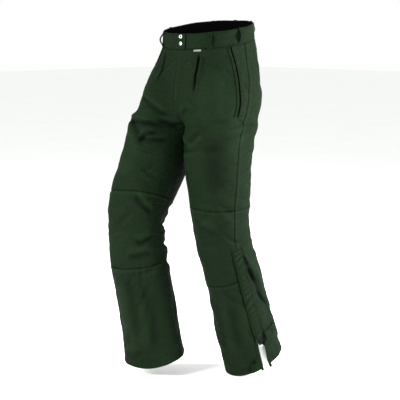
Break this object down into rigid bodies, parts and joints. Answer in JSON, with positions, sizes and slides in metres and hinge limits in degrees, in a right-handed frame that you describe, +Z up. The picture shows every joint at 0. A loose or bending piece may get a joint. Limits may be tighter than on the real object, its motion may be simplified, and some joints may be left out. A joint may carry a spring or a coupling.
{
  "type": "chainsaw protective trousers",
  "caption": "Padded work trousers held in mid-stride: jointed hips and knees, front opening with zip and studded tab, belt loops, leg zips and hem tabs.",
  "frame": {"origin": "centre of the waist opening, level with the top edge of the waistband at the wearer's sides", "axes": "+Z up, -Y the way the wearer faces, +X to the wearer's left"},
  "size_m": [0.3934, 0.4733, 1.0819],
  "materials": {
    "cloth": "twill",
    "lining": "plain weave",
    "dark": "matt",
    "pad": "knit",
    "tape": "woven",
    "metal": "bright",
    "label": "woven"
  },
  "bodies": {
    "seat": {"front_hip_left": "cloth", "back_hip_left": "cloth", "hip_pad_left": "pad", "front_hip_right": "cloth", "back_hip_right": "cloth", "hip_pad_right": "pad", "pocket_welt_left": "cloth", "pocket_bag_left": "dark", "pocket_welt_right": "cloth", "pocket_bag_right": "dark", "back_pocket": "cloth", "waistband": "cloth", "waistband_lining": "dark", "belt_loop_front_left": "cloth", "belt_loop_side_left": "cloth", "belt_loop_rear_left": "cloth", "belt_loop_front_right": "cloth", "belt_loop_side_right": "cloth", "belt_loop_rear_right": "cloth", "belt_loop_centre_back": "cloth", "snap_stud_upper": "metal", "snap_stud_lower": "metal", "fly_flap": "cloth", "fly_shield": "cloth", "fly_zip_tape": "tape", "side_label": "label"},
    "thigh_left": {"front_thigh_left": "cloth", "back_thigh_left": "cloth", "thigh_pad_left": "pad", "thigh_lining_left": "lining"},
    "shin_left": {"knee_panel_left": "cloth", "front_shin_left": "cloth", "back_shin_left": "cloth", "shin_pad_left": "pad", "shin_lining_left": "lining", "zip_tape_left": "tape", "zip_cover_left": "cloth"},
    "thigh_right": {"front_thigh_right": "cloth", "back_thigh_right": "cloth", "thigh_pad_right": "pad", "thigh_lining_right": "lining"},
    "shin_right": {"knee_panel_right": "cloth", "front_shin_right": "cloth", "back_shin_right": "cloth", "shin_pad_right": "pad", "shin_lining_right": "lining", "zip_tape_right": "tape", "zip_cover_right": "cloth"},
    "tab_body": {"waist_tab": "cloth", "snap_cap_upper": "metal", "snap_cap_lower": "metal"},
    "fly_slide_body": {"fly_zip_slider": "metal"},
    "fly_pull_body": {"fly_zip_pull": "metal"},
    "zip_slide_body_left": {"zip_slider_left": "metal"},
    "zip_pull_body_left": {"zip_pull_left": "metal"},
    "hem_tab_body_left": {"hem_tab_left": "cloth"},
    "zip_slide_body_right": {"zip_slider_right": "metal"},
    "zip_pull_body_right": {"zip_pull_right": "metal"},
    "hem_tab_body_right": {"hem_tab_right": "cloth"}
  },
  "joints": [
    {"name": "hip_left", "type": "hinge", "parent": "seat", "child": "thigh_left", "pos_m": [0.092, -0.045, -0.175], "axis": [1, 0, 0], "range_deg": [-40, 30]},
    {"name": "knee_left", "type": "hinge", "parent": "thigh_left", "child": "shin_left", "pos_m": [0.101, -0.047, -0.605], "axis": [1, 0, 0], "range_deg": [-20, 45]},
    {"name": "hip_right", "type": "hinge", "parent": "seat", "child": "thigh_right", "pos_m": [-0.092, -0.045, -0.175], "axis": [1, 0, 0], "range_deg": [-25, 35]},
    {"name": "knee_right", "type": "hinge", "parent": "thigh_right", "child": "shin_right", "pos_m": [-0.096, -0.213, -0.6], "axis": [1, 0, 0], "range_deg": [-30, 35]},
    {"name": "waist_tab_swing", "type": "hinge", "parent": "seat", "child": "tab_body", "pos_m": [0.022, -0.12053, -0.04333], "axis": [0, 0.0618, 0.9981], "range_deg": [0, 75]},
    {"name": "fly_zip_slide", "type": "slide", "parent": "seat", "child": "fly_slide_body", "axis": [0, -0.1124, -0.9937], "range_m": [0, 0.115]},
    {"name": "fly_zip_pull_swing", "type": "hinge", "parent": "fly_slide_body", "child": "fly_pull_body", "pos_m": [0.00566, -0.11502, -0.08795], "axis": [-0.9968, 0.0794, -0.009], "range_deg": [0, 8]},
    {"name": "zip_slide_left", "type": "slide", "parent": "shin_left", "child": "zip_slide_body_left", "axis": [-0.0452, -0.3053, 0.9512], "range_m": [0, 0.228]},
    {"name": "zip_pull_swing_left", "type": "hinge", "parent": "zip_slide_body_left", "child": "zip_pull_body_left", "pos_m": [0.19096, 0.03344, -0.95354], "axis": [-0.2436, -0.9201, -0.3068], "range_deg": [0, 9]},
    {"name": "hem_tab_swing_left", "type": "hinge", "parent": "shin_left", "child": "hem_tab_body_left", "pos_m": [0.18396, 0.10846, -0.9133], "axis": [-0.0409, -0.3047, 0.9516], "range_deg": [0, 80]},
    {"name": "zip_slide_right", "type": "slide", "parent": "shin_right", "child": "zip_slide_body_right", "axis": [0.024, -0.2044, 0.9786], "range_m": [0, 0.191]},
    {"name": "zip_pull_swing_right", "type": "hinge", "parent": "zip_slide_body_right", "child": "zip_pull_body_right", "pos_m": [-0.1828, -0.17935, -0.92374], "axis": [-0.2636, 0.943, 0.2034], "range_deg": [0, 9]},
    {"name": "hem_tab_swing_right", "type": "hinge", "parent": "shin_right", "child": "hem_tab_body_right", "pos_m": [-0.16971, -0.10088, -0.89284], "axis": [-0.0478, 0.1865, -0.9813], "range_deg": [0, 80]}
  ]
}
